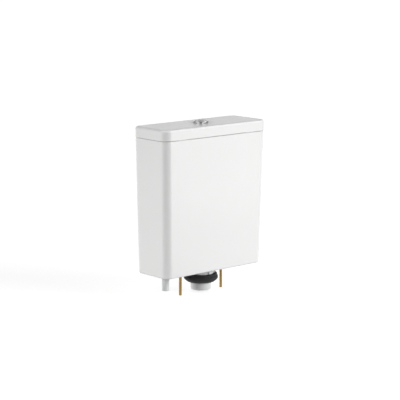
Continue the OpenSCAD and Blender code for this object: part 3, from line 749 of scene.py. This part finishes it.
@dataclass
class PushButton:
    """The chrome ring on the lid with the full and half buttons inside it. Lengths are in millimetres.

    Attributes:
        lid_top: Height of the lid's top.
        ring: Radius of the ring.
        proud: How far the ring stands over the lid.
        barrel: Outside and inside radius of the barrel.
        barrel_floor: Height of the barrel's inside floor.
        button: Radius of the two buttons together.
        cap: Lower and upper height of the buttons.
        split: Place of the gap between the buttons along X.
        gap: Width of the gap.
        rod: Distance of each push rod from the middle.
        rod_hole: Radius of the rods' holes.
        boss: Radius and length of the boss under each button.
        boss_sunk: How far the boss reaches into the cap.
        boss_chamfer: Chamfer of the boss's end.
        neck: How far the ring's neck lies inside the ring's edge.
        shadow_gap: Height of the gap under the ring.
        ring_chamfer: Chamfer of the ring's lower edge.
        fillets: Rounding of the ring's outer and inner top edge.
        floor: Thickness of the barrel's floor.
        drill: Length of the drill for the rods' holes.
        cap_chamfer: Chamfer of the buttons' lower edge.
        cap_edge: Rounding of the buttons' top edge.
        dish: Depth of the hollow in the buttons' top.
        dish_rim: Where the hollow begins, as a share of the radius.
        dish_steps: Points of the hollow, as shares of the radius.
        split_edge: Rounding of the edges along the gap.
    """

    lid_top: float = 406.2
    ring: float = 21.0
    proud: float = 5.5
    barrel: tuple[float, float] = (17.75, 16.25)
    barrel_floor: float = 375.2
    button: float = 15.9
    cap: tuple[float, float] = (407.0, 411.0)
    split: float = -3.0
    gap: float = 0.6
    rod: float = 9.5
    rod_hole: float = 3.07
    boss: tuple[float, float] = (4.3, 12.0)
    boss_sunk: float = 1.0
    boss_chamfer: float = 0.4
    neck: float = 2.6
    shadow_gap: float = 1.0
    ring_chamfer: float = 0.3
    fillets: tuple[float, float] = (1.4, 0.5)
    floor: float = 2.0
    drill: float = 10.0
    cap_chamfer: float = 0.2
    cap_edge: float = 0.7
    dish: float = 0.7
    dish_rim: float = 0.92
    dish_steps: tuple[float, ...] = (0.9, 0.75, 0.55, 0.3)
    split_edge: float = 0.35

    def build(self) -> list[Object]:
        """Makes the ring and both buttons.

        Returns:
            The three pieces.
        """
        finish = FINISHES[Slot.CHROME]
        ring = Workshop.dress(self._ring(), finish, Body.LID.value, ["button_bezel"])
        full = Workshop.dress(
            self._button("chrome_full_button", 1, self.rod), finish, Body.FULL_BUTTON.value, ["full_button"]
        )
        half = Workshop.dress(
            self._button("chrome_half_button", -1, -self.rod), finish, Body.HALF_BUTTON.value, ["half_button"]
        )
        return [ring, full, half]

    def _ring(self) -> Object:
        """Turns the ring with its barrel and bores the rods' holes.

        Returns:
            The ring.
        """
        top = self.lid_top + self.proud
        out, inside = self.barrel
        bottom = self.barrel_floor - self.floor
        neck, gap = self.ring - self.neck, self.lid_top + self.shadow_gap
        outer, inner = self.fillets
        profile = [(0.0, bottom), (out, bottom), (out, self.lid_top), (neck, self.lid_top), (neck, gap)]
        profile += [(self.ring - self.ring_chamfer, gap), (self.ring, gap + self.ring_chamfer)]
        profile += Workshop.arc((self.ring - outer, top - outer), outer, 0, 90, 10)
        profile += Workshop.arc((inside + inner, top - inner), inner, 90, 180, 6)
        profile += [(inside, self.barrel_floor), (0.0, self.barrel_floor)]
        bm = bmesh.new()
        Workshop.lathe(bm, profile, FINE_TURN)
        ring = Workshop.piece(bm, "chrome_ring")
        low = self.barrel_floor * MM
        middles = [Vector((side * self.rod * MM, 0, low)) for side in (-1, 1)]
        Workshop.bore(ring, [(middle, UP, self.rod_hole * MM, self.drill * MM) for middle in middles])
        return ring

    def _button(self, name: str, side: int, boss_x: float) -> Object:
        """Turns the dished cap, keeps one side of the gap and adds the boss.

        Args:
            name: The piece's name.
            side: 1 for the full button, -1 for the half button.
            boss_x: Place of the boss along X.

        Returns:
            The button.
        """
        low, high = self.cap
        r, edge = self.button, self.cap_edge
        profile = [(0.0, low), (r - self.cap_chamfer, low), (r, low + self.cap_chamfer)]
        profile += Workshop.arc((r - edge, high - edge), edge, 0, 90, 5)
        profile += [(r * s, high - self.dish * (1 - (s / self.dish_rim) ** 2)) for s in self.dish_steps]
        profile.append((0.0, high - self.dish))
        bm = bmesh.new()
        Workshop.lathe(bm, profile, FINE_TURN)
        cut = bmesh.ops.bisect_plane(
            bm, geom=bm.verts[:] + bm.edges[:] + bm.faces[:], dist=1e-7,
            plane_co=((self.split + side * self.gap / 2) * MM, 0, 0), plane_no=(-side, 0, 0), clear_outer=True,
        )
        rim = [e for e in cut["geom_cut"] if isinstance(e, bmesh.types.BMEdge)]
        bmesh.ops.edgeloop_fill(bm, edges=rim)
        upper = [e for e in rim if e.is_valid and min(v.co.z for v in e.verts) > (low + 1) * MM]
        Workshop.bevel(bm, upper, self.split_edge * MM, segments=3)
        bmesh.ops.recalc_face_normals(bm, faces=bm.faces[:])
        radius, length = self.boss
        end, root = low - length, low + self.boss_sunk
        section = [(0.0, end), (radius - self.boss_chamfer, end), (radius, end + self.boss_chamfer)]
        section += [(radius, root), (0.0, root)]
        boss = bmesh.new()
        Workshop.lathe(boss, section, 48)
        Workshop.join(bm, boss, Matrix.Translation((boss_x * MM, 0, 0)))
        return Workshop.piece(bm, name)


@dataclass
class ButtonSpring:
    """A wound return spring under a button. Lengths are in millimetres.

    Attributes:
        side: 1 for the full button, -1 for the half button.
        bottom: Height of the spring's foot.
        top: Height of the spring's head.
        radius: Radius of the coil at the wire's middle.
        wire: Radius of the wire.
        turns: Turns from end to end.
        travel: How far the button is pressed; not used.
        place: Distance of the spring from the middle.
        steps: Pieces of one turn.
        facets: Facets round the wire.
    """

    side: int
    bottom: float = 375.3
    top: float = 406.9
    radius: float = 5.3
    wire: float = 0.5
    turns: int = 6
    travel: float = 8.0
    place: float = 9.5
    steps: int = 24
    facets: int = 10

    def build(self) -> Object:
        """Winds the wire and hangs it on the lid.

        Returns:
            The spring.
        """
        name, joint = ("full", "full_press") if self.side > 0 else ("half", "half_press")
        steps = self.steps * self.turns
        rise = self.top - self.bottom - 2 * self.wire
        bm = bmesh.new()
        bmesh.ops.create_circle(bm, cap_ends=True, segments=self.facets, radius=self.wire * MM)
        foot = (self.radius * MM, 0, (self.bottom + self.wire) * MM)
        stand = Matrix.Translation(foot) @ Matrix.Rotation(math.pi / 2, 4, "X")
        bmesh.ops.transform(bm, matrix=stand, verts=bm.verts[:])
        bmesh.ops.spin(
            bm, geom=bm.verts[:] + bm.edges[:] + bm.faces[:], cent=(0, 0, 0), axis=UP,
            dvec=(0, 0, rise * MM / steps), angle=2 * math.pi * self.turns, steps=steps,
            use_merge=False, use_duplicate=False,
        )
        bmesh.ops.recalc_face_normals(bm, faces=bm.faces[:])
        bmesh.ops.translate(bm, vec=(self.side * self.place * MM, 0, 0), verts=bm.verts[:])
        spring = Workshop.piece(bm, f"wound_{name}_spring")
        Workshop.dress(spring, FINISHES[Slot.STEEL], Body.LID.value, [f"{name}_button_spring"])
        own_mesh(spring)
        return spring


@dataclass
class Underside:
    """What hangs under the foot: doughnut seal, threaded inlet and pan bolts. Lengths are in millimetres.

    Attributes:
        inlet_x: Place of the inlet along X.
        bolt_x: Distance of each bolt from the middle.
        bolt_drop: Length of the bolts under the foot.
        bolt_thread: Crest, root and core radius and pitch of the bolts' thread.
        head: Radius, height and foot of the bolts' hexagon heads.
        inlet_thread: Crest, root and core radius and pitch of the inlet's thread.
        riser_top: Height of the inlet riser's top.
        seal_bore: Radius of the hole in the doughnut seal.
        seal_ends: Height of the seal's lower and upper face.
    """

    inlet_x: float = -128.0
    bolt_x: float = 75.0
    bolt_drop: float = 68.0
    bolt_thread: tuple[float, float, float, float] = (4.0, 3.38, 3.2, 1.25)
    head: tuple[float, float, float] = (7.6, 5.5, 17.5)
    inlet_thread: tuple[float, float, float, float] = (10.4, 9.55, 9.25, 1.814)
    riser_top: float = 268.0
    seal_bore: float = 29.9
    seal_ends: tuple[float, float] = (-38.0, -14.0)

    def build(self) -> list[Object]:
        """Makes the seal, the inlet and both bolts.

        Returns:
            The pieces.
        """
        return [self._seal(), self._inlet(), self._bolt("left", -1), self._bolt("right", 1)]

    def _seal(self) -> Object:
        """Turns the doughnut seal with its soft shoulders.

        Returns:
            The seal.
        """
        low, high = self.seal_ends
        profile = [(self.seal_bore, low)]
        profile += Workshop.arc((36.0, -33.0), 5.0, -90, -50, 4)
        profile += Workshop.arc((38.0, -25.0), 10.0, -40, 40, 10)
        profile += Workshop.arc((42.5, -18.5), 4.5, 50, 90, 4)
        profile += [(36.5, high), (36.0, -14.6), (33.5, -14.6), (33.0, high), (self.seal_bore, high)]
        bm = bmesh.new()
        Workshop.lathe(bm, profile, FINE_TURN)
        seal = Workshop.piece(bm, "soft_doughnut_seal")
        return Workshop.dress(seal, FINISHES[Slot.BLACK_RUBBER], Body.TANK.value, ["doughnut_seal"])

    def _inlet(self) -> Object:
        """Turns the inlet shank and riser, and cuts the thread on its tail.

        Returns:
            The shank.
        """
        bm = bmesh.new()
        crest, root, core, pitch = self.inlet_thread
        top = self.riser_top
        profile = [(7.5, -46.0), (9.3, -46.0), (9.3, -10.0), (crest, -10.0), (crest, 15.0), (16.6, 15.0), (17.0, 15.4)]
        profile += [(17.0, 18.6), (16.6, 19.0), (12.0, 21.0), (9.6, 22.6), (9.0, 24.0), (9.0, top), (5.0, top)]
        profile += [(5.0, -20.0), (7.5, -20.0)]
        Workshop.lathe(bm, profile, 64)
        Workshop.thread(bm, crest, root, pitch, -45.6, -12.2, core, steps=40)
        bmesh.ops.translate(bm, vec=(self.inlet_x * MM, 0, 0), verts=bm.verts[:])
        shank = Workshop.piece(bm, "threaded_inlet")
        return Workshop.dress(shank, FINISHES[Slot.WHITE], Body.TANK.value, ["inlet_shank"], 28.0)

    def _bolt(self, label: str, side: int) -> Object:
        """Makes a pan bolt with its hexagon head, neck and thread.

        Args:
            label: Left or right.
            side: -1 or 1.

        Returns:
            The bolt.
        """
        radius, height, foot = self.head
        bm = bmesh.new()
        bmesh.ops.create_cone(
            bm, cap_ends=True, segments=6, radius1=radius * MM, radius2=radius * MM, depth=height * MM,
            matrix=Matrix.Translation((0, 0, (foot + height / 2) * MM)),
        )
        Workshop.bevel(bm, bm.edges[:], 0.4 * MM, segments=2)
        Workshop.lathe(bm, [(0.0, -1.0), (3.7, -1.0), (3.7, 18.0), (0.0, 18.0)], 32)
        low = -self.bolt_drop
        Workshop.lathe(bm, [(0.0, low), (2.9, low), (3.35, low + 0.6), (3.35, -0.2), (0.0, -0.2)], 24)
        crest, root, core, pitch = self.bolt_thread
        Workshop.thread(bm, crest, root, pitch, low + 0.5, 0.0, core, steps=20)
        bmesh.ops.translate(bm, vec=(side * self.bolt_x * MM, 0, 0), verts=bm.verts[:])
        bolt = Workshop.piece(bm, f"threaded_bolt_{label}")
        return Workshop.dress(bolt, FINISHES[Slot.BRASS], Body.TANK.value, [f"pan_bolt_{label}"], 28.0)


@dataclass
class MouldedParts:
    """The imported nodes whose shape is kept: each gets a copy with softened edges.

    Attributes:
        soften: Rounding of the copies' edges, in metres.
        flat: Angle in degrees under which neighbouring faces are made one.
        sharp: Angle in degrees past which an edge is rounded.
    """

    soften: float = 0.35 * MM
    flat: float = 0.5
    sharp: float = 35.0

    def build(self) -> list[Object]:
        """Softens and dresses every node that is still showing.

        Returns:
            The new pieces.
        """
        slots = {s["node"]: Slot(s["material_slot"]) for s in frame["record"]["subparts"]}
        bodies = {n: b for b, nodes in frame["record"]["behaviour"]["bodies"].items() for n in nodes}
        made = []
        for node, slot in slots.items():
            if frame["nodes"][node].hide_render:
                continue
            made.append(Workshop.dress(self._softened(node), FINISHES[slot], bodies[node], [node]))
        return made

    def _softened(self, node: str) -> Object:
        """A copy of a node's mesh with its sharp edges rounded.

        Args:
            node: The node's name.

        Returns:
            The copy.
        """
        bm = bmesh.new()
        bm.from_mesh(frame["nodes"][node].data)
        bmesh.ops.remove_doubles(bm, verts=bm.verts[:], dist=1e-6)
        bmesh.ops.dissolve_limit(bm, angle_limit=math.radians(self.flat), verts=bm.verts[:], edges=bm.edges[:])
        sharp = [e for e in bm.edges if e.is_manifold and e.calc_face_angle(0.0) > math.radians(self.sharp)]
        Workshop.bevel(bm, sharp, self.soften, segments=2)
        return Workshop.piece(bm, f"moulded_{node}")


@dataclass(frozen=True)
class Lamp:
    """A soft light from one side.

    Attributes:
        name: The lamp's name.
        direction: From the object to the lamp.
        strength: Strength in watts per square metre.
    """

    name: str
    direction: tuple[float, float, float]
    strength: float


@dataclass(frozen=True)
class Card:
    """A card that faces the object and that only reflections see.

    Attributes:
        name: The card's name.
        middle: The card's middle.
        size: Width and height.
        shade: How bright it shows.
    """

    name: str
    middle: tuple[float, float, float]
    size: tuple[float, float]
    shade: float


@dataclass(frozen=True)
class FloorCard:
    """A card that lies on the floor beside the object and that only reflections see.

    Attributes:
        name: The card's name.
        azimuth: Where it lies, in degrees from X towards Y.
        reach: Its near and far end from the middle.
        widths: Its width at the near and the far end.
        shade: How bright it shows.
    """

    name: str
    azimuth: float
    reach: tuple[float, float]
    widths: tuple[float, float]
    shade: float


LAMPS = (
    Lamp("key_light", (0.48, -0.832, 0.28), 2.36),
    Lamp("side_light", (-0.923, 0.336, 0.19), 2.26),
    Lamp("back_light", (0.172, 0.977, 0.12), 1.8),
)
CARDS = (
    Card("dark_card", (-1.32, -1.5, 0.69), (0.85, 1.5), 0.1),
    Card("grey_card", (1.65, 1.88, 0.46), (4.0, 1.06), 0.95),
    Card("slim_card", (1.055, 1.2, 0.66), (0.028, 0.5), 0.55),
    Card("front_card", (0.27, -2.28, 0.78), (2.2, 0.6), 2.1),
    Card("left_card", (-2.3, -0.03, 0.78), (2.2, 0.6), 2.1),
    Card("bright_card", (1.226, -1.104, 1.69), (1.4, 0.8), 3.6),
    Card("high_card", (1.45, -1.65, 0.95), (0.6, 1.1), 1.0),
    Card("far_card", (3.02, -3.66, 0.27), (1.5, 0.66), 3.2),
)
FLOOR_CARDS = (
    FloorCard("near_floor_card", -50.5, (0.25, 1.0), (0.34, 0.52), 2.3),
    FloorCard("front_floor_card", -50.5, (1.0, 4.8), (0.52, 1.44), 3.2),
    FloorCard("left_floor_card", 156.0, (0.3, 4.6), (1.0, 3.4), 1.85),
)


@dataclass
class Studio:
    """Camera, lights, floor and background.

    Attributes:
        floor_z: Height of the floor.
        floor_size: Half the width of the floor.
        floor_glow: How bright the floor shows without the lamps.
        ambient: Strength of the even light from all round.
        lamp_angle: How wide the lamps look from the object, in degrees.
        fill: Power of the small light near the right end.
        fill_place: Where that light stands.
        fill_size: How wide it is.
        aim: Height that the cards face.
        card_lift: Height of the floor cards above the floor.
        room: Radius, height and brightness of the round room.
        room_sunk: How far the room reaches below the floor.
        lens: The camera's lens, in millimetres.
        sensor: Width of the camera's sensor, in millimetres.
        camera_place: Where the camera stands.
        camera_down: How far the camera looks down, in degrees.
        camera_turn: How far it is turned from the front, in degrees.
    """

    floor_z: float = -0.068
    floor_size: float = 40.0
    floor_glow: float = 0.76
    ambient: float = 0.13
    lamp_angle: float = 36.0
    fill: float = 3.0
    fill_place: tuple[float, float, float] = (1.0, -1.0, 0.3)
    fill_size: float = 0.7
    aim: float = 0.4
    card_lift: float = 0.004
    room: tuple[float, float, float] = (5.0, 3.2, 0.45)
    room_sunk: float = 0.02
    lens: float = 138.56
    sensor: float = 36.0
    camera_place: tuple[float, float, float] = (-2.7634, -3.1482, 0.9415)
    camera_down: float = 10.163
    camera_turn: float = -41.2475

    def build(self) -> None:
        """Sets up the whole studio."""
        bpy.context.scene.view_settings.view_transform = "Standard"
        self._camera()
        self._world()
        self._floor()
        for lamp in LAMPS:
            self._lamp(lamp)
        self._fill("fill_light")
        for card in CARDS:
            self._card(card)
        for card in FLOOR_CARDS:
            self._floor_card(card)
        self._room()
        log.info("studio is set")

    def _camera(self) -> None:
        """Places the camera at the fitted viewpoint."""
        data = bpy.data.cameras.new("camera")
        data.sensor_width = self.sensor
        data.lens = self.lens
        camera = bpy.data.objects.new("camera", data)
        camera.location = self.camera_place
        camera.rotation_euler = (math.radians(90 - self.camera_down), 0.0, math.radians(self.camera_turn))
        bpy.context.collection.objects.link(camera)
        bpy.context.scene.camera = camera

    @staticmethod
    def _seen_directly(tree: NodeTree) -> NodeSocket:
        """A factor that is 1 for rays that see a surface as it looks.

        Args:
            tree: The nodes.

        Returns:
            The factor's socket.
        """
        path = tree.nodes.new("ShaderNodeLightPath")
        total = path.outputs["Is Camera Ray"]
        for name in ("Is Glossy Ray", "Is Transmission Ray"):
            largest = tree.nodes.new("ShaderNodeMath")
            largest.operation = "MAXIMUM"
            tree.links.new(total, largest.inputs[0])
            tree.links.new(path.outputs[name], largest.inputs[1])
            total = largest.outputs["Value"]
        return total

    def _world(self) -> None:
        """White where it is seen, and an even soft light elsewhere."""
        world = bpy.data.worlds.new("soft_white")
        world.use_nodes = True
        tree = world.node_tree
        seen = tree.nodes["Background"]
        seen.inputs["Color"].default_value = (1, 1, 1, 1)
        seen.inputs["Strength"].default_value = 1.0
        even = tree.nodes.new("ShaderNodeBackground")
        even.inputs["Color"].default_value = (1, 1, 1, 1)
        even.inputs["Strength"].default_value = self.ambient
        mix = tree.nodes.new("ShaderNodeMixShader")
        tree.links.new(self._seen_directly(tree), mix.inputs["Fac"])
        tree.links.new(even.outputs["Background"], mix.inputs[1])
        tree.links.new(seen.outputs["Background"], mix.inputs[2])
        tree.links.new(mix.outputs["Shader"], tree.nodes["World Output"].inputs["Surface"])
        bpy.context.scene.world = world

    def _floor(self) -> None:
        """A wide pale floor that keeps the object's shadow."""
        bm = bmesh.new()
        bmesh.ops.create_grid(bm, x_segments=1, y_segments=1, size=self.floor_size)
        bmesh.ops.translate(bm, vec=(0, 0, self.floor_z), verts=bm.verts[:])
        floor = Workshop.piece(bm, "floor")
        paint = bpy.data.materials.new("pale_floor")
        paint.use_nodes = True
        tree = paint.node_tree
        base = tree.nodes["Principled BSDF"]
        base.inputs["Base Color"].default_value = (0.5, 0.5, 0.5, 1)
        base.inputs["Roughness"].default_value = 0.9
        base.inputs["Specular IOR Level"].default_value = 0.0
        seen = tree.nodes.new("ShaderNodeMath")
        seen.operation = "MULTIPLY"
        seen.inputs[1].default_value = self.floor_glow
        tree.links.new(self._seen_directly(tree), seen.inputs[0])
        glow = tree.nodes.new("ShaderNodeEmission")
        tree.links.new(seen.outputs["Value"], glow.inputs["Strength"])
        glow.inputs["Color"].default_value = (1, 1, 1, 1)
        both = tree.nodes.new("ShaderNodeAddShader")
        tree.links.new(base.outputs["BSDF"], both.inputs[0])
        tree.links.new(glow.outputs["Emission"], both.inputs[1])
        tree.links.new(both.outputs["Shader"], tree.nodes["Material Output"].inputs["Surface"])
        paint.cycles.emission_sampling = "NONE"
        floor.data.materials.append(paint)

    def _lamp(self, lamp: Lamp) -> None:
        """Hangs a soft light as wide as a large window.

        Args:
            lamp: The lamp.
        """
        data = bpy.data.lights.new(lamp.name, "SUN")
        data.angle = math.radians(self.lamp_angle)
        data.energy = lamp.strength
        hung = bpy.data.objects.new(lamp.name, data)
        hung.rotation_euler = Vector(lamp.direction).to_track_quat("Z", "Y").to_euler()
        hung.visible_glossy = False
        bpy.context.collection.objects.link(hung)

    def _fill(self, name: str) -> None:
        """A small soft light close by, which makes the front brighten towards one end.

        Args:
            name: The lamp's name.
        """
        place = Vector(self.fill_place)
        data = bpy.data.lights.new(name, "AREA")
        data.shape = "DISK"
        data.size = self.fill_size
        data.energy = self.fill
        lamp = bpy.data.objects.new(name, data)
        lamp.location = place
        lamp.rotation_euler = Vector((place.x, place.y, 0)).to_track_quat("Z", "Y").to_euler()
        lamp.visible_glossy = False
        bpy.context.collection.objects.link(lamp)

    def _card(self, card: Card) -> None:
        """Stands a card up and turns it to the object.

        Args:
            card: The card.
        """
        middle = Vector(card.middle)
        bm = bmesh.new()
        bmesh.ops.create_grid(bm, x_segments=1, y_segments=1, size=0.5)
        bmesh.ops.scale(bm, vec=(*card.size, 1), verts=bm.verts[:])
        turn = (Vector((0, 0, self.aim)) - middle).to_track_quat("Z", "Y").to_matrix().to_4x4()
        bmesh.ops.transform(bm, matrix=Matrix.Translation(middle) @ turn, verts=bm.verts[:])
        self._glow(bm, card.name, card.shade)

    def _floor_card(self, card: FloorCard) -> None:
        """Lays a card on the floor.

        Args:
            card: The card.
        """
        near, far = card.reach
        bm = bmesh.new()
        bmesh.ops.create_grid(bm, x_segments=1, y_segments=1, size=0.5)
        for side, width in zip((-1, 1), card.widths):
            end = [v for v in bm.verts if v.co.x * side > 0]
            bmesh.ops.scale(bm, vec=(far - near, width, 1), verts=end)
        bmesh.ops.translate(bm, vec=((near + far) / 2, 0, self.floor_z + self.card_lift), verts=bm.verts[:])
        turn = Matrix.Rotation(math.radians(card.azimuth), 3, "Z")
        bmesh.ops.rotate(bm, cent=(0, 0, 0), matrix=turn, verts=bm.verts[:])
        self._glow(bm, card.name, card.shade)

    def _room(self) -> None:
        """A dim round room outside the cards, which only reflections see."""
        radius, height, shade = self.room
        bm = bmesh.new()
        bmesh.ops.create_cone(
            bm, cap_ends=True, cap_tris=False, segments=64, radius1=radius, radius2=radius, depth=height,
        )
        bmesh.ops.translate(bm, vec=(0, 0, self.floor_z + height / 2 - self.room_sunk), verts=bm.verts[:])
        self._glow(bm, "round_room", shade)

    @staticmethod
    def _glow(bm: bmesh.types.BMesh, name: str, shade: float) -> None:
        """Turns a mesh into an evenly bright stage piece that only reflections see.

        Args:
            bm: The mesh.
            name: The piece's name.
            shade: How bright it shows.
        """
        card = Workshop.piece(bm, name)
        paint = bpy.data.materials.new(name)
        paint.use_nodes = True
        base = paint.node_tree.nodes["Principled BSDF"]
        base.inputs["Base Color"].default_value = (0, 0, 0, 1)
        base.inputs["Specular IOR Level"].default_value = 0.0
        base.inputs["Emission Color"].default_value = (1, 1, 1, 1)
        base.inputs["Emission Strength"].default_value = shade
        paint.cycles.emission_sampling = "NONE"
        card.data.materials.append(paint)
        card.visible_camera = False
        card.visible_diffuse = False
        card.visible_shadow = False
        card.visible_transmission = False


def main() -> None:
    """Builds every sub-assembly in order."""
    logging.basicConfig(level=logging.INFO, format="%(name)s: %(message)s")
    Studio().build()
    ChinaTank().build()
    ChinaLid().build()
    PushButton().build()
    for side in (1, -1):
        ButtonSpring(side).build()
    Underside().build()
    MouldedParts().build()


if __name__ == "__main__":
    main()
